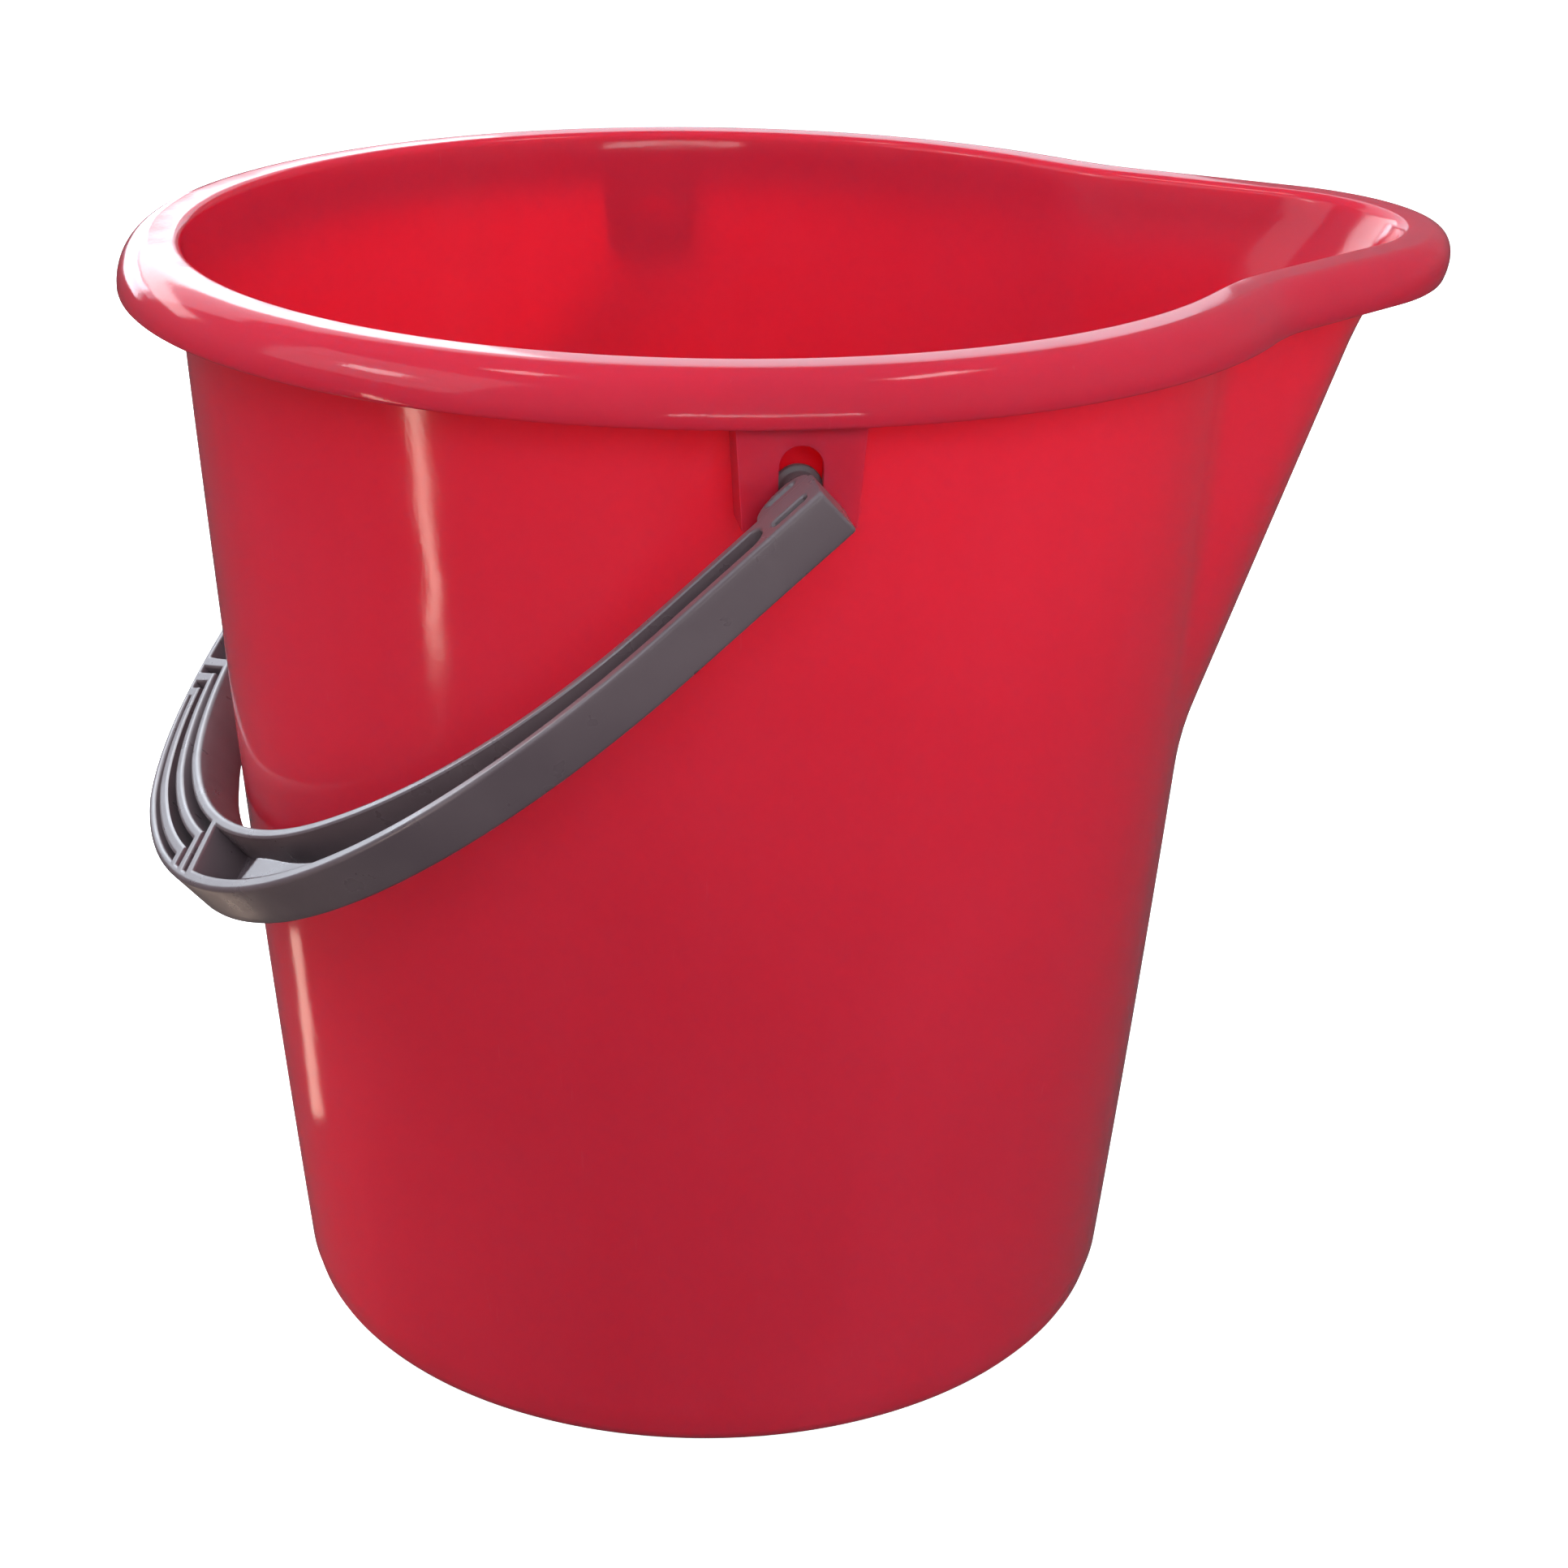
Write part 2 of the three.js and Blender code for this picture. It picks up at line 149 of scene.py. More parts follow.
# A mound in the arm's channel beside the outer rail, just below the top and narrower up the arm.
MOUND_RISES = (30.4 * DEG, 34.5 * DEG)
MOUND_NARROWS = (34 * DEG, 52 * DEG)
MOUND_REACH = 10.6
MOUND_NARROWING = 6.9
MOUND_DEPTH = 0.7

# Grip: four rails, whose ribs turn outwards at a slant, one nested inside the next.
RAILS = (2.6, 3.4, 3.15, 3.25)
CHANNELS = (1.2, 2.4, 2.6)
RIB_WIDTH = 4.6
RIB_STEP = 7.0
RIB_START = 17.4 * DEG
SLANT = 1.0
SLANT_GROWS = (1 * DEG, 9 * DEG)
SLANT_FADES = (27 * DEG, 48 * DEG)

# Studs with flat heads, each on a rounded pad at the inner face of the strap's end.
STUD_RADIUS = 4.1
HEAD_RADIUS = 5.4
HEAD_LENGTH = 2.0
HEAD_GAP = 0.8
HEAD_ROUND = 0.5
STUD_FILLET = 0.3
STUD_ROOT = 1.0
BOSS_RADIUS = 6.8
BOSS_CENTRE = 2.2
BOSS_REACH = 5.6
BOSS_ROOT = 1.2
BOSS_SUNK = 0.12
BOSS_ROUND = 0.6
GROOVE_INSET = 2.4
GROOVE_ACROSS = (0.5, 1.1)
GROOVE_ALONG = (3.0, 4.4)
GROOVE_DEPTH = 0.9


# ---------------------------------------------------------------- mesh helpers

def smoothstep(low, high, x):
    t = np.clip((x - low) / (high - low), 0, 1)
    return t * t * (3 - 2 * t)


def arc(centre, radii, start, end, steps):
    """Points of an ellipse's arc, as (across, up) pairs; the angles are in degrees."""
    turn = np.radians(np.linspace(start, end, steps + 1))
    return [(centre[0] + radii[0] * math.cos(a), centre[1] + radii[1] * math.sin(a)) for a in turn]


def ring_faces(rings, columns, closed=True):
    """Quads between successive rings of points, each ring closed on itself."""
    faces = []
    last = columns if closed else columns - 1
    for j in range(rings - 1):
        for i in range(last):
            k = (i + 1) % columns
            low, high = j * columns, (j + 1) * columns
            faces.append((low + i, low + k, high + k, high + i))
    return faces


def make_object(name, points, faces, sharp=None):
    """A smooth-shaded mesh object from points in millimetres, with its faces pointing out."""
    mesh = bpy.data.meshes.new(name)
    mesh.from_pydata([tuple(p) for p in np.asarray(points) * MM], [], faces)
    bm = bmesh.new()
    bm.from_mesh(mesh)
    bmesh.ops.recalc_face_normals(bm, faces=bm.faces)
    for face in bm.faces:
        face.smooth = True
    if sharp is not None:
        for edge in bm.edges:
            if len(edge.link_faces) == 2 and edge.calc_face_angle() > sharp * DEG:
                edge.smooth = False
    bm.to_mesh(mesh)
    bm.free()
    piece = bpy.data.objects.new(name, mesh)
    bpy.context.scene.collection.objects.link(piece)
    return piece


def apply_modifiers(piece):
    depsgraph = bpy.context.evaluated_depsgraph_get()
    mesh = bpy.data.meshes.new_from_object(piece.evaluated_get(depsgraph))
    piece.modifiers.clear()
    piece.data = mesh
    return piece


def cut(piece, cutter):
    """Cuts one closed mesh with another, and removes the cutter."""
    modifier = piece.modifiers.new("cut", "BOOLEAN")
    modifier.operation = "DIFFERENCE"
    modifier.solver = "EXACT"
    modifier.object = cutter
    apply_modifiers(piece)
    bpy.data.objects.remove(cutter)
    return piece


def round_edges(piece, width):
    modifier = piece.modifiers.new("round", "BEVEL")
    modifier.width = width * MM
    modifier.segments = 3
    modifier.limit_method = "ANGLE"
    modifier.angle_limit = 40 * DEG
    modifier.harden_normals = True
    return apply_modifiers(piece)


def prism(name, outline, place, near, far):
    """An outline of (across, up) points carried from one distance to another."""
    count = len(outline)
    points = [place(a, b, level) for level in (near, far) for a, b in outline]
    faces = [tuple(range(count)), tuple(range(2 * count - 1, count - 1, -1))]
    faces += ring_faces(2, count)
    return make_object(name, points, faces, sharp=30)


# ---------------------------------------------------------------- bucket shell

def wall_radius(height):
    t = height / LIP_HEIGHT
    return BASE_RADIUS + (TOP_RADIUS - BASE_RADIUS) * t + SWELL * 4 * t * (1 - t)


def spout_radius(angle, height, offset):
    """Distance from the axis to the spout's surface, or to one at an offset from it."""
    below = HEIGHT - height
    nose = NOSE_RADIUS + NOSE_GROWTH * below
    curl = FLARE * smoothstep(-FLARE_HEIGHT, 0, -below)
    centre = REACH - REACH_PER_HEIGHT * below - nose + curl
    nose = nose + offset
    away = np.abs(angle)
    tangent = np.arctan2(nose * math.cos(HALF_ANGLE), centre + nose * math.sin(HALF_ANGLE))
    chord = np.maximum(nose ** 2 - (centre * np.sin(away)) ** 2, 0)
    round_part = centre * np.cos(away) + np.sqrt(chord)
    apex = centre + nose / math.sin(HALF_ANGLE)
    straight_part = apex * math.sin(HALF_ANGLE) / np.sin(HALF_ANGLE + away)
    return np.where(away < tangent, round_part, straight_part)


def pulled_radius(angle, radius, height):
    """The round bucket's radius where there is no spout, and the spout's where there is."""
    reach = spout_radius(angle, height, radius - wall_radius(height))
    towards_rim = smoothstep(LIP_HEIGHT - RIM_BLEND, HEIGHT, height)
    softness = CREASE_IN_WALL + (CREASE_IN_RIM - CREASE_IN_WALL) * towards_rim
    overlap = np.maximum(softness - np.abs(radius - reach), 0) / softness
    pulled = np.maximum(radius, reach) + overlap ** 2 * softness / 4
    away_from_spout = (radius < BASE_RADIUS / 2) | (np.abs(angle) > SPOUT_SECTOR * DEG)
    return np.where(away_from_spout, radius, pulled)


def bucket_profile():
    """The section's (radius, height) points, from the underside out, up, over and down inside."""
    inside = wall_radius(HEIGHT) - WALL
    fall = inside + CREST_WIDTH
    lip = RIM_SKIN / 2
    crest_under = HEIGHT - RIM_SKIN
    corner = 2.0
    clear = 2
    hub = 8
    upright = np.linspace(BASE_ROUND + clear, crest_under - corner, 72)
    downright = np.linspace(HEIGHT - EDGE_ROUND - clear / 2, FLOOR + BASE_ROUND + clear, 72)
    points = [(r, 0) for r in np.linspace(hub, wall_radius(0) - BASE_ROUND - 2 * clear, 7)]
    points += arc((wall_radius(0) - BASE_ROUND, BASE_ROUND), (BASE_ROUND, BASE_ROUND), -90, 0, 8)
    points += [(wall_radius(z), z) for z in upright]
    points += arc((wall_radius(crest_under) + corner, crest_under - corner),
                  (corner, corner), 165, 90, 4)
    points += arc((fall, LIP_HEIGHT + lip), (FALL_WIDTH - RIM_SKIN, DROP - RIM_SKIN - lip),
                  90, 0, 10)
    points += arc((fall + FALL_WIDTH - lip, LIP_HEIGHT + lip), (lip, lip), 180 + 30, 360 - 30, 4)
    points += arc((fall, LIP_HEIGHT + lip), (FALL_WIDTH, DROP - lip), 0, 90, 22)
    points += arc((inside + EDGE_ROUND, HEIGHT - EDGE_ROUND), (EDGE_ROUND, EDGE_ROUND),
                  90, 180, 8)
    points += [(wall_radius(z) - WALL, z) for z in downright]
    points += arc((wall_radius(FLOOR) - WALL - BASE_ROUND, FLOOR + BASE_ROUND),
                  (BASE_ROUND, BASE_ROUND), 0, -90, 8)
    floor_edge = wall_radius(0) - WALL - BASE_ROUND - 3 * clear
    points += [(r, FLOOR) for r in np.linspace(floor_edge, hub, 8)]
    return np.array(points)


def make_shell():
    fine, coarse = 0.75, 1.5
    sector = np.arange(-SPOUT_SECTOR, SPOUT_SECTOR, fine)
    plain = np.arange(SPOUT_SECTOR, 360 - SPOUT_SECTOR, coarse)
    angles = np.radians(np.concatenate([sector, plain]))
    angles = np.where(angles > math.pi, angles - 2 * math.pi, angles)
    radius, height = bucket_profile().T
    angle_grid, radius_grid = np.meshgrid(angles, radius)
    height_grid = np.broadcast_to(height[:, None], radius_grid.shape)
    pulled = pulled_radius(angle_grid, radius_grid, height_grid)
    points = np.stack([pulled * np.cos(angle_grid), pulled * np.sin(angle_grid), height_grid], -1)
    rings, columns = radius_grid.shape
    points = np.concatenate([points.reshape(-1, 3), [[0, 0, 0], [0, 0, FLOOR]]])
    faces = ring_faces(rings, columns)
    under, floor = rings * columns, rings * columns + 1
    last = (rings - 1) * columns
    for i in range(columns):
        k = (i + 1) % columns
        faces.append((under, k, i))
        faces.append((floor, last + i, last + k))
    return make_object("bucket_shell", points, faces)


# ---------------------------------------------------------------- lugs

def lug_outline(margin, bottom, top):
    """A tapered outline of (across, up) points, with more points up its sides and across it."""
    def half(height):
        t = (height - LUG_BOTTOM) / (LIP_HEIGHT - LUG_BOTTOM)
        return (LUG_BOTTOM_WIDTH + (LUG_TOP_WIDTH - LUG_BOTTOM_WIDTH) * t) / 2 - margin
    points = [(half(bottom) * across, bottom) for across in np.linspace(-1, 1, 9)]
    points += [(half(z), z) for z in np.linspace(bottom, top, 9)[1:-1]]
    points += [(half(top) * across, top) for across in np.linspace(1, -1, 9)]
    points += [(-half(z), z) for z in np.linspace(top, bottom, 9)[1:-1]]
    return points


def make_lug(name, side):
    """A tapered hood open at the bottom and towards the wall, its top buried in the rim."""
    def place(across, up, level):
        """A point on the lug's face at a level, or inside the wall where the level is negative."""
        root = math.sqrt((wall_radius(up) - WALL / 2) ** 2 - (PIVOT_X + across) ** 2)
        return (PIVOT_X + across, side * (root if level < 0 else level), up)

    def straight(across, up, level):
        return (PIVOT_X + across, side * level, up)

    top = HEIGHT - RIM_SKIN - LUG_BELOW_CREST
    inner = LUG_FACE - LUG_PLATE
    at_wall, spare_below, spare_behind, past = -1, 10, 25, 2
    lug = prism(name, lug_outline(0, LUG_BOTTOM, top), place, at_wall, LUG_FACE)
    hollow = lug_outline(LUG_CHEEK, LUG_BOTTOM - spare_below, top - LUG_CHEEK)
    cut(lug, prism("hollow", hollow, straight, inner - spare_behind, inner))
    slot = arc((0, PIVOT + SLOT_RISE), (SLOT_RADIUS, SLOT_RADIUS), 0, 180, 24)
    slot += arc((0, PIVOT), (SLOT_RADIUS, SLOT_RADIUS), 180, 360, 24)
    cut(lug, prism("slot", slot, straight, inner - past, LUG_FACE + past))
    return round_edges(lug, LUG_ROUND)


# ---------------------------------------------------------------- bail handle

def outer_edge(turn):
    """The strap's outer edge: u, v and the outward normal's two parts, at turns from the middle."""
    side = np.sign(turn)
    away = np.abs(turn)
    centre = (CROWN_RADIUS - SHOULDER_RADIUS) * math.sin(CROWN_SPREAD)
    down = CROWN_CENTRE + (CROWN_RADIUS - SHOULDER_RADIUS) * math.cos(CROWN_SPREAD)
    facing = np.minimum(away, math.pi / 2)
    nu, nv = np.sin(facing), np.cos(facing)
    beyond = np.maximum(away - math.pi / 2, 0) * SHOULDER_RADIUS
    in_crown = away <= CROWN_SPREAD
    u = np.where(in_crown, CROWN_RADIUS * nu, centre + SHOULDER_RADIUS * nu)
    v = np.where(in_crown, CROWN_CENTRE + CROWN_RADIUS * nv, down + SHOULDER_RADIUS * nv) - beyond
    return side * u, v, side * nu, nv


def strap_end():
    down = CROWN_CENTRE + (CROWN_RADIUS - SHOULDER_RADIUS) * math.cos(CROWN_SPREAD)
    return math.pi / 2 + (down + END_BEYOND_PIVOT) / SHOULDER_RADIUS


STRAP_END = strap_end()
INNER_RADIUS = CROWN_RADIUS - THICKNESS


def thickness_at(turn):
    tapered = smoothstep(TAPER_START, TAPER_END, np.abs(turn))
    return THICKNESS + (END_THICKNESS - THICKNESS) * tapered


def half_width(u, v):
    turn = np.arctan2(np.abs(u), v - CROWN_CENTRE)
    left = np.maximum(1 - turn / STRAP_END, 0)
    arm = ARM_WIDTH + (END_WIDTH - ARM_WIDTH) * smoothstep(NARROW_START, STRAP_END, turn)
    return (arm + (GRIP_WIDTH - ARM_WIDTH) * left ** WIDTH_POWER) / 2


def hang(u, v, w):
    """From the bail's own axes to the model's, with the bail leaning back at rest."""
    back = w + STRAP_OFFSET
    x = -back * math.cos(REST_ANGLE) - v * math.sin(REST_ANGLE) + PIVOT_X
    z = back * math.sin(REST_ANGLE) - v * math.cos(REST_ANGLE) + PIVOT
    return np.stack(np.broadcast_arrays(x, u, z), -1)


def station_turns():
    """Turns of the strap's sections, close together at the ribs and at the strap's end."""
    ribs_from, ribs_to = 10 * DEG, RIB_START + 2.6 * DEG
    near_end = STRAP_END - 22 / SHOULDER_RADIUS
    half = np.concatenate([
        np.arange(0, ribs_from, 0.6 * DEG),
        np.arange(ribs_from, ribs_to, 0.1 * DEG),
        np.arange(ribs_to, near_end, 0.5 * DEG),
        np.linspace(near_end, STRAP_END, 70),
    ])
    return np.concatenate([-half[:0:-1], half])


def edge_depth(inside, deep):
    """Depth of a channel from the distance inside its edge: a round top edge, then a wall."""
    edge, run = 0.9, 0.3
    past = np.clip(inside + edge, 0, edge)
    shoulder = edge - np.sqrt(edge ** 2 - past ** 2)
    wall = np.clip(inside / run, 0, 1) * (deep - edge)
    return np.where(inside > -edge, shoulder + wall, 0)


def grip_inside(along, inset):
    """How far a place is inside the nearest grip channel, negative on the rails and ribs."""
    leg = RIB_STEP - RIB_WIDTH
    far_outside = -10.0
    best = np.full(np.broadcast(along, inset).shape, far_outside)
    outer = 0.0
    for i, (rail, channel) in enumerate(zip(RAILS, CHANNELS)):
        outer += rail
        inner = outer + channel
        rib = RIB_START * INNER_RADIUS - (len(CHANNELS) - 1 - i) * RIB_STEP
        band = np.minimum.reduce([rib - along, inset - outer, inner - inset])
        best = np.maximum(best, band)
        if i > 0:
            turned = [rib - along, along - rib + leg, inset - RAILS[0], inner - inset]
            best = np.maximum(best, np.minimum.reduce(turned))
        outer = inner
    return best


def arm_inside(along, inset, turn, thick):
    """How far a place is inside the arm's channel or the slot beyond it."""
    from_end = (STRAP_END - np.abs(turn)) * SHOULDER_RADIUS
    low, high = OUTER_RAIL, thick - INNER_RAIL
    half = (high - low) / 2
    middle = (high + low) / 2
    start = RIB_START * INNER_RADIUS + RIB_WIDTH
    tip = half - np.hypot(np.minimum(from_end - CHANNEL_END - half, 0), inset - middle)
    channel = np.minimum(tip, along - start)
    reach = np.clip(from_end, SLOT_START + SLOT_CAP, SLOT_END - SLOT_CAP) - from_end
    slot = SLOT_HALF_WIDTH - np.hypot(reach, inset - OUTER_RAIL - SLOT_FROM_RAIL)
    return np.maximum(channel, slot)


def relief(along, inset, turn, thick, half):
    """Depth of the open channels below the strap's top face."""
    deep = 2 * half - STRAP_FLOOR
    away = np.abs(turn)
    rise = smoothstep(*MOUND_RISES, away)
    reach = MOUND_REACH - MOUND_NARROWING * smoothstep(*MOUND_NARROWS, away)
    mound = 1 - smoothstep(reach - 0.5, reach + 1.2, inset)
    risen = deep - (deep - MOUND_DEPTH) * rise * mound
    return np.maximum(edge_depth(grip_inside(along, inset), deep),
                      edge_depth(arm_inside(along, inset, turn, thick), risen))


def strap_insets(thick):
    """Distances across the top face: fixed from each edge, and stretched in the middle."""
    fixed_to = 6.4
    fixed = np.linspace(STRAP_CORNER, fixed_to, 23)
    share = np.linspace(0, 1, 20)[1:-1]
    stretched = fixed[-1] + share * (thick - 2 * fixed[-1])
    return np.concatenate([fixed, stretched, thick - fixed[::-1]])


def strap_section(turn):
    """One closed loop of points round the strap, slanted in step with the grip's ribs."""
    thick = float(thickness_at(turn))
    away = abs(turn)
    skew = smoothstep(*SLANT_GROWS, away) * (1 - smoothstep(*SLANT_FADES, away))

    def at(insets):
        shift = skew * SLANT * (THICKNESS - insets) / (CROWN_RADIUS - insets)
        slanted = np.clip(turn + np.sign(turn) * shift, -STRAP_END, STRAP_END)
        u, v, nu, nv = outer_edge(slanted)
        u, v = u - insets * nu, v - insets * nv
        return slanted, u, v, half_width(u, v)

    def run(insets, level, rise):
        """Points at a share of the half width, and at a distance above that."""
        _, u, v, half = at(insets)
        return hang(u, v, level * (half - STRAP_CORNER) + rise)

    inset = strap_insets(thick)
    slanted, u, v, half = at(inset)
    along = np.full(len(inset), away * INNER_RADIUS)
    depth = relief(along, inset, slanted, thick, half)
    quarter = np.radians(np.linspace(0, 90, 5))[1:-1]
    short, long = STRAP_CORNER * np.sin(quarter), STRAP_CORNER * np.cos(quarter)
    sides = np.linspace(-1, 1, 6)
    under = np.linspace(thick - STRAP_CORNER, STRAP_CORNER, 8)
    return np.concatenate([
        hang(u, v, half - depth),
        run(thick - STRAP_CORNER + short, 1, long),
        run(np.full(6, thick), -sides, 0),
        run(thick - STRAP_CORNER + long, -1, -short),
        run(under, -1, -STRAP_CORNER),
        run(STRAP_CORNER - short, -1, -long),
        run(np.zeros(6), sides, 0),
        run(STRAP_CORNER - long, 1, short),
    ])


def end_rounds(section, middle, away):
    """Three shrinking copies of the strap's last section, carried on round its square end."""
    loops = []
    for turn in np.radians([30, 60, 90]):
        reach = END_ROUND * math.sin(turn)
        pull = END_ROUND * (1 - math.cos(turn))
        offset = section - middle
        length = np.linalg.norm(offset, axis=1, keepdims=True)
        loops.append(section - offset / length * pull + away * reach)
    return loops


def make_strap():
    turns = station_turns()
    sections = [strap_section(turn) for turn in turns]
    first, last = sections[0], sections[-1]
    upward = hang(0, -1, 0) - hang(0, 0, 0)
    start = end_rounds(first, first.mean(0), upward)
    finish = end_rounds(last, last.mean(0), upward)
    sections = start[::-1] + sections + finish
    columns = len(first)
    points = np.concatenate(sections)
    faces = ring_faces(len(sections), columns)
    faces.append(tuple(range(columns)))
    faces.append(tuple(range(len(points) - 1, len(points) - 1 - columns, -1)))
    return make_object("bail_strap", points, faces, sharp=38)


def make_boss(name, side):
    """The pad at the root of a stud: a rounded front, flush with the strap, shallowly grooved."""
    front = float(abs(outer_edge(np.array(STRAP_END))[0])) - END_THICKNESS
    angles = np.radians(np.linspace(-90, 90, 41))
    shares = np.linspace(0, 1, 15)
    flat, pinch, short_of_upright = 0.86, 0.04, 0.98
    rows = []
    for level in (1, -1):
        for share in shares if level > 0 else shares[::-1]:
            u = front + BOSS_ROOT - share * (BOSS_ROOT + BOSS_REACH * np.cos(angles))
            v = BOSS_CENTRE + BOSS_RADIUS * np.sin(angles) * (1 - pinch * share ** 8)
            centre_line = 1 - smoothstep(*GROOVE_ACROSS, np.abs(front - GROOVE_INSET - u))
            groove = centre_line * (1 - smoothstep(*GROOVE_ALONG, np.abs(v - BOSS_CENTRE)))
            turned = max(share - flat, 0) ** 2 / (1 - flat) ** 2 * short_of_upright
            rounding = BOSS_ROUND * (1 - np.sqrt(1 - turned))
            sunk = BOSS_SUNK + rounding + GROOVE_DEPTH * groove * (level > 0)
            rows.append(hang(side * u, v, level * (half_width(u, v) - sunk)))
    columns = len(angles)
    points = np.concatenate(rows)
    count = len(rows)
    faces = ring_faces(count, columns, closed=False)
    faces += [(i, i + 1, (count - 1) * columns + i + 1, (count - 1) * columns + i)
              for i in range(columns - 1)]
    for edge in (0, columns - 1):
        faces.append(tuple(row * columns + edge for row in range(count)))
    return make_object(name, points, faces, sharp=50)


def make_stud(name, side):
    """The round pin with its flat head, turned about the pivot's axis."""
    head = LUG_FACE - LUG_PLATE - HEAD_GAP
    root = abs(outer_edge(np.array(STRAP_END))[0]) - END_THICKNESS + STUD_ROOT
    rim_centre = (HEAD_RADIUS - HEAD_ROUND, -(head - HEAD_LENGTH + HEAD_ROUND))
    profile = [(r, -y) for r, y in arc(rim_centre, (HEAD_ROUND, HEAD_ROUND), 90, 0, 4)]
    profile += [(HEAD_RADIUS, head - STUD_FILLET), (HEAD_RADIUS - STUD_FILLET, head)]
    profile += [(STUD_RADIUS + STUD_FILLET, head), (STUD_RADIUS, head + STUD_FILLET)]
    profile.append((STUD_RADIUS, root))
    columns = 48
    turns = np.linspace(0, 2 * math.pi, columns, endpoint=False)
    points = [(PIVOT_X + r * math.cos(a), side * y, PIVOT + r * math.sin(a))
              for r, y in profile for a in turns]
    faces = ring_faces(len(profile), columns)
    faces.append(tuple(range(columns)))
    faces.append(tuple(range(len(points) - 1, len(points) - 1 - columns, -1)))
    return make_object(name, points, faces, sharp=50)


# ---------------------------------------------------------------- materials

RED_DEEP = (0.590, 0.022, 0.052)
RED_PALE = (0.630, 0.026, 0.058)
RED_FLOW = (0.54, 0.019, 0.046)
RED_SCUFFED = (0.70, 0.20, 0.24)
GREY_DEEP = (0.108, 0.080, 0.091)
GREY_PALE = (0.130, 0.098, 0.109)
GREY_WORN = (0.27, 0.25, 0.27)
FLOOR_DEEP = (0.86, 0.86, 0.86)
FLOOR_PALE = (0.88, 0.88, 0.88)
PLASTIC_IOR = 1.49


class Nodes:
    """Short names for the shader nodes that both plastics use."""

    def __init__(self, name):
        self.material = bpy.data.materials.new(name)
        self.material.use_nodes = True
        self.tree = self.material.node_tree
        self.shader = self.tree.nodes["Principled BSDF"]
        self.place = self.add("ShaderNodeTexCoord").outputs["Object"]

    def add(self, kind, **settings):
        node = self.tree.nodes.new(kind)
        for key, value in settings.items():
            setattr(node, key, value)
        return node

    def link(self, source, target):
        self.tree.links.new(source, target)

    def stretched(self, scale, turn):
        mapping = self.add("ShaderNodeMapping")
        mapping.inputs["Scale"].default_value = scale
        mapping.inputs["Rotation"].default_value = turn
        self.link(self.place, mapping.inputs["Vector"])
        return mapping.outputs["Vector"]

    def noise(self, scale, detail, stretch=(1, 1, 1), turn=(0, 0, 0)):
        node = self.add("ShaderNodeTexNoise")
        node.inputs["Scale"].default_value = scale
        node.inputs["Detail"].default_value = detail
        self.link(self.stretched(stretch, turn), node.inputs["Vector"])
        return node.outputs["Fac"]

    def ramp(self, value, low, high, start=0.0, end=1.0):
        node = self.add("ShaderNodeMapRange")
        node.inputs["From Min"].default_value = low
        node.inputs["From Max"].default_value = high
        node.inputs["To Min"].default_value = start
        node.inputs["To Max"].default_value = end
        self.link(value, node.inputs["Value"])
        return node.outputs["Result"]

    def maths(self, operation, a, b):
        node = self.add("ShaderNodeMath", operation=operation)
        for socket, value in zip(node.inputs, (a, b)):
            if isinstance(value, (int, float)):
                socket.default_value = value
            else:
                self.link(value, socket)
        return node.outputs["Value"]

    def mix(self, factor, a, b):
        node = self.add("ShaderNodeMix", data_type="RGBA")
        for socket, value in ((node.inputs[0], factor), (node.inputs[6], a), (node.inputs[7], b)):
            if isinstance(value, tuple):
                socket.default_value = (*value, 1)
            elif isinstance(value, (int, float)):
                socket.default_value = value
            else:
                self.link(value, socket)
        return node.outputs[2]

    def bump(self, height, distance, strength, under=None):
        node = self.add("ShaderNodeBump")
        node.inputs["Distance"].default_value = distance
        node.inputs["Strength"].default_value = strength
        self.link(height, node.inputs["Height"])
        if under is not None:
            self.link(under, node.inputs["Normal"])
        return node.outputs["Normal"]


def red_plastic():
    """Glossy, translucent polypropylene with flow marks, waviness and a few faint scratches."""
    n = Nodes("red_plastic")
    blotch = n.ramp(n.noise(9, 2), 0.35, 0.65)
    flow = n.ramp(n.noise(30, 3, stretch=(1, 1, 0.06)), 0.4, 0.6)
    colour = n.mix(blotch, RED_DEEP, RED_PALE)
    colour = n.mix(n.maths("MULTIPLY", flow, 0.25), colour, RED_FLOW)
    scuff = 0.0
    for turn in ((0.9, 0.3, 0.4), (0.2, 1.2, 1.9)):
        streaks = n.noise(1.0, 3, stretch=(500, 500, 40), turn=turn)
        scuff = n.maths("ADD", n.ramp(streaks, 0.72, 0.80), scuff)
    colour = n.mix(n.maths("MULTIPLY", scuff, 0.05), colour, RED_SCUFFED)
    n.link(colour, n.shader.inputs["Base Color"])
    rough = n.ramp(n.noise(40, 4), 0.3, 0.7, 0.085, 0.13)
    rough = n.maths("ADD", rough, n.maths("MULTIPLY", scuff, 0.10))
    n.link(rough, n.shader.inputs["Roughness"])
    wave = n.bump(n.noise(22, 2), 0.0016, 0.4)
    skin = n.bump(n.noise(700, 2), 0.00003, 0.5, under=wave)
    scratch = n.bump(scuff, 0.00002, 0.4, under=skin)
    n.link(scratch, n.shader.inputs["Normal"])
    n.shader.inputs["IOR"].default_value = PLASTIC_IOR
    n.shader.inputs["Subsurface Weight"].default_value = 0.9
    n.shader.inputs["Subsurface Radius"].default_value = (1.0, 0.12, 0.16)
    n.shader.inputs["Subsurface Scale"].default_value = 0.009
    return n.material


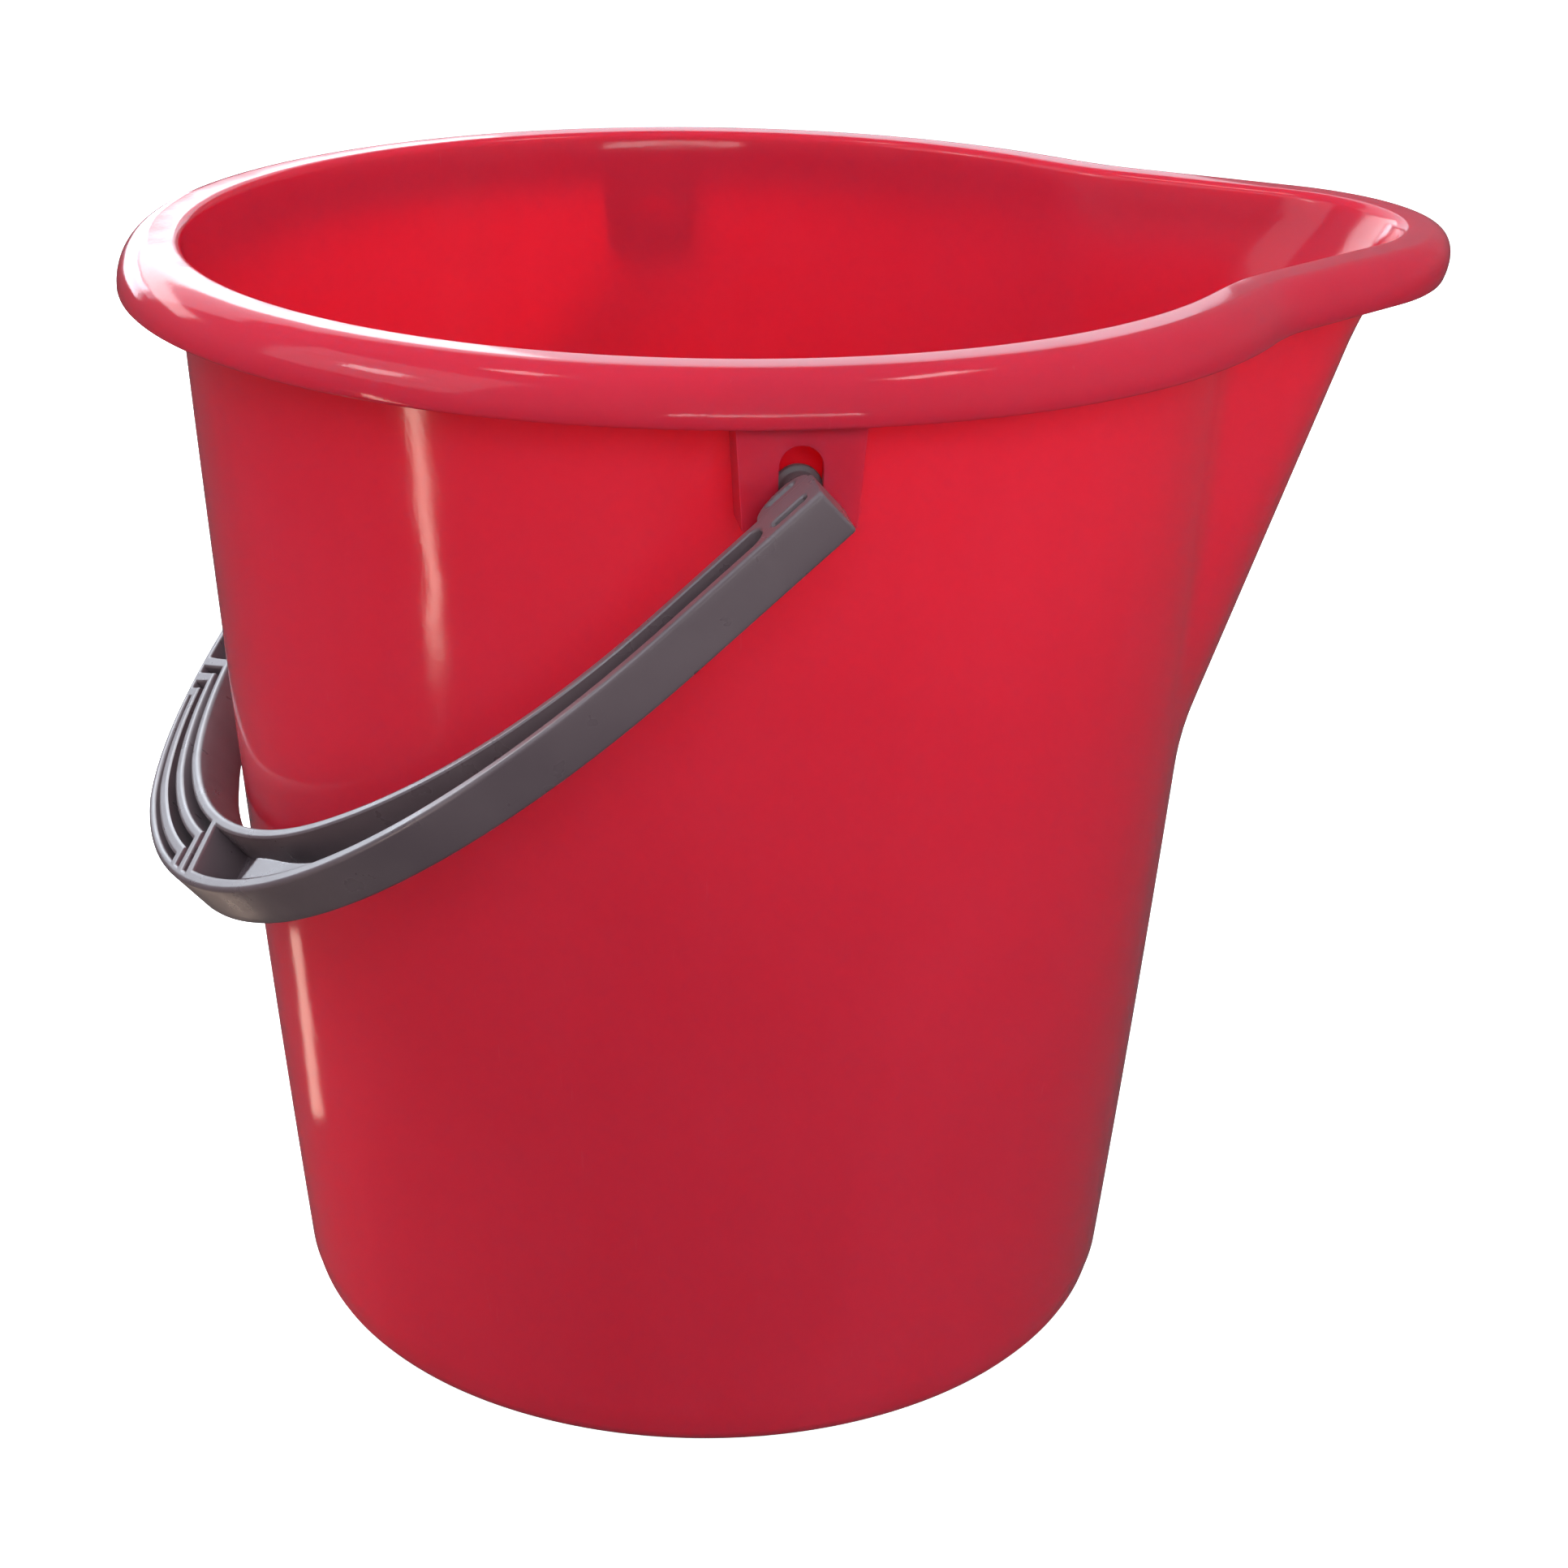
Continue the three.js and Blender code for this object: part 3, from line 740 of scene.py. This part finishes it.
def grey_plastic():
    """Satin polypropylene: a fine eroded texture, mottled, with its edges rubbed lighter."""
    n = Nodes("grey_plastic")
    blotch = n.ramp(n.noise(35, 3), 0.35, 0.65)
    colour = n.mix(blotch, GREY_DEEP, GREY_PALE)
    worn = n.add("ShaderNodeNewGeometry").outputs["Pointiness"]
    worn = n.maths("MULTIPLY", n.ramp(worn, 0.54, 0.64), n.ramp(n.noise(300, 3), 0.2, 0.8))
    colour = n.mix(n.maths("MULTIPLY", worn, 0.5), colour, GREY_WORN)
    n.link(colour, n.shader.inputs["Base Color"])
    n.link(n.ramp(n.noise(120, 3), 0.3, 0.7, 0.26, 0.34), n.shader.inputs["Roughness"])
    grain = n.bump(n.noise(2600, 2), 0.00004, 0.5)
    n.link(grain, n.shader.inputs["Normal"])
    n.shader.inputs["IOR"].default_value = PLASTIC_IOR
    n.shader.inputs["Specular IOR Level"].default_value = 0.9
    return n.material


def floor_surface(name):
    n = Nodes(name)
    colour = n.mix(n.ramp(n.noise(3, 2), 0.3, 0.7), FLOOR_DEEP, FLOOR_PALE)
    n.link(colour, n.shader.inputs["Base Color"])
    n.shader.inputs["Roughness"].default_value = 0.6
    n.shader.inputs["Emission Color"].default_value = (1, 1, 1, 1)
    n.shader.inputs["Emission Strength"].default_value = 0.9
    return n.material


# ---------------------------------------------------------------- light, floor and camera

def make_stage():
    """A round pale floor and a dome of the same stuff, which only the camera sees."""
    reach = 8000.0
    gap = 0.2
    ground = cad_box[0][2] / MM - gap
    columns = 96
    turns = np.linspace(0, 2 * math.pi, columns, endpoint=False)
    stage = []
    for name, rises in (("floor", (0,)), ("backdrop", np.radians(np.linspace(0, 88, 23)))):
        rings = [(reach * math.cos(rise) * math.cos(a), reach * math.cos(rise) * math.sin(a),
                  ground + reach * math.sin(rise)) for rise in rises for a in turns]
        faces = ring_faces(len(rises), columns)
        faces.append(tuple(range(len(rings) - columns, len(rings))))
        piece = make_object(name, rings, faces)
        piece.data.materials.append(floor_surface(f"pale_{name}"))
        piece.visible_glossy = False
        piece.visible_diffuse = False
        stage.append(piece)
    stage[1].visible_shadow = False
    return stage


def bearing(azimuth, elevation, distance):
    """A place at a bearing from the rim's middle: azimuth from +Y towards +X, in degrees."""
    across = distance * math.cos(elevation * DEG)
    x = across * math.sin(azimuth * DEG)
    y = across * math.cos(azimuth * DEG)
    return (x, y, HEIGHT * MM + distance * math.sin(elevation * DEG))


def area_light(name, place, size, radiance, target=(0, 0, 0.25), colour=(1, 1, 1)):
    """A rectangular lamp of a given brightness, facing a point on the bucket."""
    light = bpy.data.lights.new(name, "AREA")
    light.shape = "RECTANGLE"
    light.size, light.size_y = size
    light.energy = radiance * math.pi * size[0] * size[1]
    light.color = colour
    lamp = bpy.data.objects.new(name, light)
    lamp.location = place
    lamp.rotation_euler = (Vector(target) - Vector(place)).to_track_quat("-Z", "Y").to_euler()
    lamp.visible_camera = False
    bpy.context.scene.collection.objects.link(lamp)
    return lamp


def make_lights():
    # A ring of soft light that shapes the surfaces without showing in their gloss: azimuth,
    # elevation, size, radiance and colour of each.
    ring_distance, panel_distance = 1.3, 2.0
    white, cool, warm = (1, 1, 1), (0.80, 0.90, 1.0), (1, 0.62, 0.42)
    for name, azimuth, elevation, size, radiance, colour in (
        ("front", 180, 23, (0.8, 0.6), 5.7, white),
        ("front_low", 190, -14, (0.9, 0.3), 1.0, white),
        ("front_right", 130, 8, (0.8, 0.7), 2.4, white),
        ("right", 90, 4, (0.8, 0.6), 1.0, white),
        ("left", 262, 4, (0.8, 0.6), 0.6, white),
        ("left_sky", 276, 46, (0.7, 0.7), 5.0, cool),
        ("top", 0, 85, (0.8, 0.8), 2.3, cool),
        ("back", 348, 17, (0.8, 0.9), 5.0, white),
        ("back_left", 315, 17, (0.8, 0.9), 2.0, white),
        ("back_right", 45, 17, (0.8, 0.9), 0.8, white),
    ):
        place = bearing(azimuth, elevation, ring_distance)
        area_light(name, place, size, radiance, colour=colour).visible_glossy = False
    warm_floor = area_light("warm_floor", (-0.29, -0.03, 0.004), (0.12, 0.16), 5.0,
                            (-0.14, 0, 0.13), warm)
    warm_floor.visible_glossy = False
    # Broad pale panels that show in the gloss and shade nothing.
    for name, azimuth, elevation, size, radiance in (
        ("pale_back", -12, 24, (2.6, 1.3), 1.2),
        ("pale_left", -105, 28, (1.6, 1.2), 0.9),
        ("pale_low", -24, 4, (1.1, 0.45), 4.0),
    ):
        place = bearing(azimuth, elevation, panel_distance)
        panel = area_light(name, place, size, radiance, colour=cool)
        panel.visible_diffuse = False
    # Windows and lamps that show in the gloss.
    area_light("back_window", bearing(-28, 17, 1.6), (1.8, 0.30), 2.6)
    area_light("left_lamp", bearing(-106, 26, 1.8), (0.35, 0.2), 6.0)
    area_light("ceiling_lamp_left", bearing(-110, 63, 1.9), (0.3, 0.2), 6.0)
    area_light("ceiling_lamp_right", bearing(118, 62, 1.9), (0.5, 0.2), 6.0)
    area_light("front_window", bearing(178, 3, 2.2), (1.3, 0.10), 5.0)
    area_light("floor_strip", (-0.50, -0.24, 0.10), (0.03, 0.20), 8.0, colour=(1, 0.80, 0.66))
    area_light("low_strip", (-0.205, 0.065, 0.006), (0.02, 0.06), 2.0, (-0.1, 0, 0.08),
               (1, 0.75, 0.6))
    make_world()


def make_world():
    """A pale room: even above the horizon, and dark below it."""
    world = bpy.data.worlds.new("pale_room")
    world.use_nodes = True
    tree = world.node_tree
    background = tree.nodes["Background"]
    place = tree.nodes.new("ShaderNodeTexCoord")
    split = tree.nodes.new("ShaderNodeSeparateXYZ")
    fade = tree.nodes.new("ShaderNodeMapRange")
    tree.links.new(place.outputs["Generated"], split.inputs["Vector"])
    tree.links.new(split.outputs["Z"], fade.inputs["Value"])
    fade.inputs["From Min"].default_value = -0.15
    fade.inputs["From Max"].default_value = 0.15
    fade.inputs["To Min"].default_value = 0.09
    fade.inputs["To Max"].default_value = 0.24
    tree.links.new(fade.outputs["Result"], background.inputs["Strength"])
    background.inputs["Color"].default_value = (0.94, 0.97, 1.08, 1)
    bpy.context.scene.world = world


def make_camera():
    """Seen from in front and a little to the left, above the rim."""
    place = (-0.09497, -0.67574, 0.42735)
    forward = Vector((0.15471, 0.90602, -0.39393)).normalized()
    roll = 0.0209
    data = bpy.data.cameras.new("camera")
    data.lens = 63.15
    data.sensor_width = 36
    camera = bpy.data.objects.new("camera", data)
    level = forward.cross(Vector((0, 0, 1))).normalized()
    upright = level.cross(forward)
    right = math.cos(roll) * level + math.sin(roll) * upright
    up = -math.sin(roll) * level + math.cos(roll) * upright
    turn = Matrix((right, up, -forward)).transposed()
    camera.matrix_world = Matrix.Translation(place) @ turn.to_4x4()
    bpy.context.scene.collection.objects.link(camera)
    bpy.context.scene.camera = camera


# ---------------------------------------------------------------- assembly

red = red_plastic()
grey = grey_plastic()

bucket_pieces = [make_shell(), make_lug("lug_left", -1), make_lug("lug_right", 1)]
bail_pieces = [make_strap()]
for side, word in ((-1, "left"), (1, "right")):
    bail_pieces.append(make_boss(f"stud_pad_{word}", side))
    bail_pieces.append(make_stud(f"stud_{word}", side))

for piece in bucket_pieces:
    piece.data.materials.clear()
    piece.data.materials.append(red)
    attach(piece, "bucket")
    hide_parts("bucket_body")

for piece in bail_pieces:
    piece.data.materials.clear()
    piece.data.materials.append(grey)
    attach(piece, "bail")
    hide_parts("bail_handle")

for backing in make_stage():
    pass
make_lights()
make_camera()
bpy.context.scene.view_settings.view_transform = "Standard"
